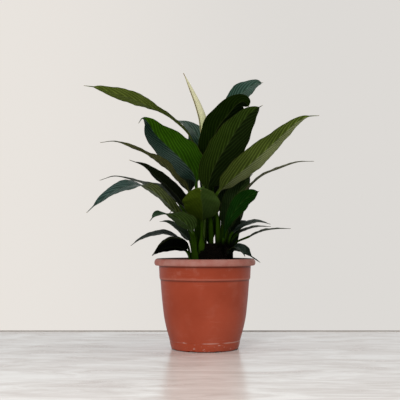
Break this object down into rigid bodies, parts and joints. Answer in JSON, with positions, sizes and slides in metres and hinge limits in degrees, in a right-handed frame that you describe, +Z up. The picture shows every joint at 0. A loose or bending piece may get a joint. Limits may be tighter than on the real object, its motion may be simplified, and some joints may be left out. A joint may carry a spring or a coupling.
{
  "type": "potted peace lily",
  "caption": "Rosette of long-stalked pointed leaves and one rolled pale bloom, rooted in a plug of dark peat in a round terracotta-coloured plastic pot.",
  "frame": {"origin": "the middle of the pot's foot, on the surface it stands on; the pot's axis is the Z axis", "axes": "+Z up; the plant's front faces -Y; +X is to the right as seen from the front"},
  "size_m": [0.3813, 0.3345, 0.4715],
  "materials": {
    "pot_plastic": "satin, lightly scuffed",
    "peat": "matte, crumbly",
    "leaf": "glossy upper face, satin underside",
    "flower_stalk": "satin",
    "spathe": "satin",
    "spadix": "matte"
  },
  "bodies": {
    "root": {"pot": "pot_plastic", "soil": "peat", "flower_stalk": "flower_stalk", "flower_spathe": "spathe", "flower_spadix": "spadix", "leaf_left_long": "leaf", "leaf_left_back": "leaf", "leaf_left_broad": "leaf", "leaf_left_slim": "leaf", "leaf_left_dark": "leaf", "leaf_left_thin": "leaf", "leaf_left_arching": "leaf", "leaf_left_hooked": "leaf", "leaf_left_small": "leaf", "leaf_left_drooping": "leaf", "leaf_left_low_thin": "leaf", "leaf_left_low": "leaf", "leaf_right_top": "leaf", "leaf_right_shaded": "leaf", "leaf_right_centre": "leaf", "leaf_right_pale": "leaf", "leaf_right_thin": "leaf", "leaf_right_green": "leaf", "leaf_right_grey": "leaf", "leaf_right_blue": "leaf", "leaf_right_wire_short": "leaf", "leaf_right_wire_long": "leaf", "leaf_right_low": "leaf", "leaf_right_low_front": "leaf", "leaf_front": "leaf", "leaf_back_tall": "leaf", "leaf_back_left": "leaf", "leaf_back_right": "leaf", "leaf_back_high": "leaf", "leaf_back_low_left": "leaf", "leaf_back_low_right": "leaf", "leaf_back_far_left": "leaf", "leaf_back_far_right": "leaf", "leaf_back_drooping_left": "leaf", "leaf_back_drooping_right": "leaf", "leaf_back_short_left": "leaf", "leaf_back_short_right": "leaf"}
  },
  "joints": []
}
